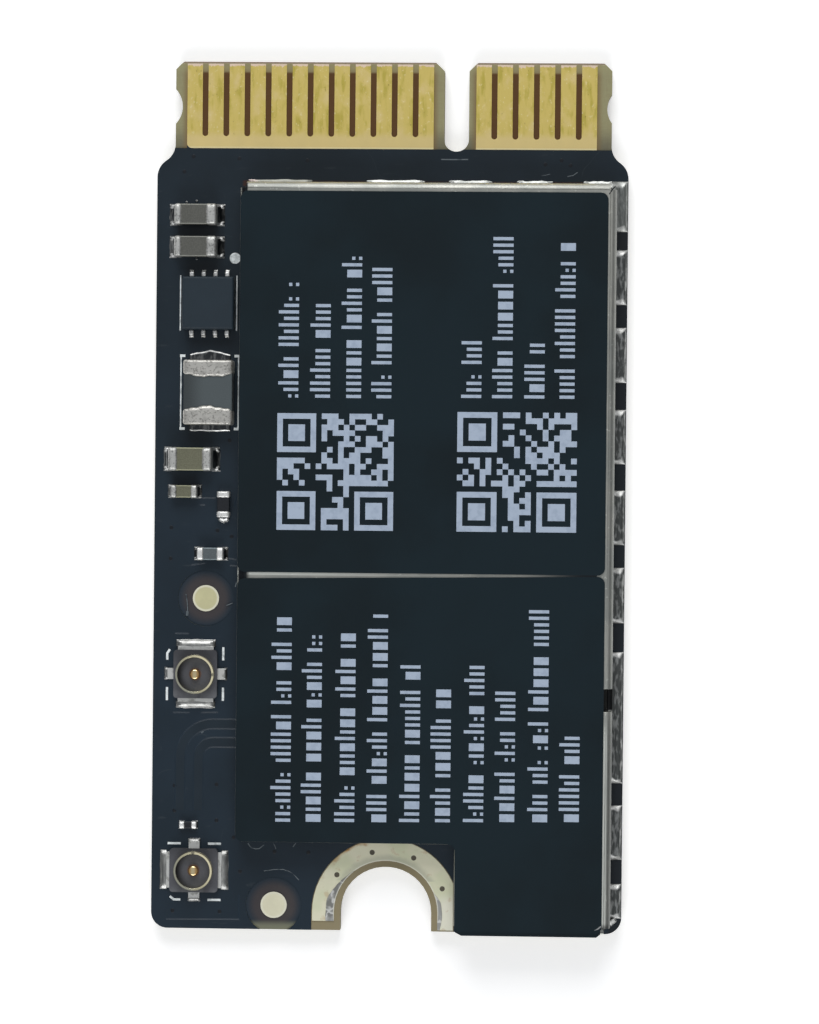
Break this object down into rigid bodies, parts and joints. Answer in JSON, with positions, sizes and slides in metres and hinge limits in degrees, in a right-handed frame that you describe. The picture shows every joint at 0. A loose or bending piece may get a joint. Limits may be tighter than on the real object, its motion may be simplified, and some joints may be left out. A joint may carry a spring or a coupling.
{
  "type": "laptop wifi card",
  "caption": "Small keyed plug-in wireless card for a laptop: circuit board with gold edge contacts, shield can, antenna sockets, chip parts and a half-round screw notch.",
  "frame": {"origin": "centre of the board's underside, at the middle of its width and length", "axes": "+Y along the card towards the contact tongue, +X to the right seen from the component side, +Z out of the component side"},
  "size_m": [0.0178, 0.033, 0.0021],
  "materials": {
    "solder_mask": "near-black glossy solder mask on glass-epoxy laminate",
    "contact_gold": "gold plated copper with insertion wear",
    "ring_plating": "pale gold plated copper with tinning stains",
    "shield_metal": "tinned sheet steel, satin",
    "solder": "reflowed solder",
    "label_film": "black satin label film",
    "grey_ceramic": "grey-brown fired ceramic",
    "olive_ceramic": "olive fired ceramic",
    "ferrite": "dark grey ferrite",
    "black_glaze": "black glazed resistor face",
    "end_cap_tin": "tin plated end caps",
    "chip_mould": "moulded black epoxy",
    "socket_mould": "moulded dark plastic",
    "socket_gold": "gold plated brass",
    "crystal_can": "metal crystal lid"
  },
  "bodies": {
    "root": {"circuit_board": "solder_mask", "front_contacts_wide": "contact_gold", "front_contacts_narrow": "contact_gold", "rear_contacts_wide": "contact_gold", "rear_contacts_narrow": "contact_gold", "screw_ring_front": "ring_plating", "screw_ring_rear": "ring_plating", "fiducial_upper": "ring_plating", "fiducial_lower": "ring_plating", "shield_lid": "shield_metal", "shield_frame": "shield_metal", "shield_solder": "solder", "label_upper": "label_film", "label_lower": "label_film", "chip_solder": "solder", "regulator_body": "chip_mould", "regulator_leads": "end_cap_tin", "wifi_chip": "chip_mould", "bluetooth_chip": "chip_mould", "memory_chip": "chip_mould", "front_end_upper": "chip_mould", "front_end_lower": "chip_mould", "band_filter_upper": "grey_ceramic", "band_filter_lower": "grey_ceramic", "crystal": "crystal_can", "decoupling_capacitors": "olive_ceramic", "antenna_socket_upper_base": "socket_mould", "antenna_socket_upper_shell": "socket_gold", "antenna_socket_upper_pin": "socket_gold", "antenna_socket_lower_base": "socket_mould", "antenna_socket_lower_shell": "socket_gold", "antenna_socket_lower_pin": "socket_gold", "input_capacitor_upper_body": "grey_ceramic", "input_capacitor_upper_end_caps": "end_cap_tin", "input_capacitor_lower_body": "grey_ceramic", "input_capacitor_lower_end_caps": "end_cap_tin", "inductor_body": "ferrite", "inductor_end_caps": "end_cap_tin", "output_capacitor_body": "olive_ceramic", "output_capacitor_end_caps": "end_cap_tin", "feedback_capacitor_body": "olive_ceramic", "feedback_capacitor_end_caps": "end_cap_tin", "feedback_resistor_body": "black_glaze", "feedback_resistor_end_caps": "end_cap_tin", "bypass_capacitor_body": "grey_ceramic", "bypass_capacitor_end_caps": "end_cap_tin", "matching_part_body": "black_glaze", "matching_part_end_caps": "end_cap_tin"}
  },
  "joints": []
}
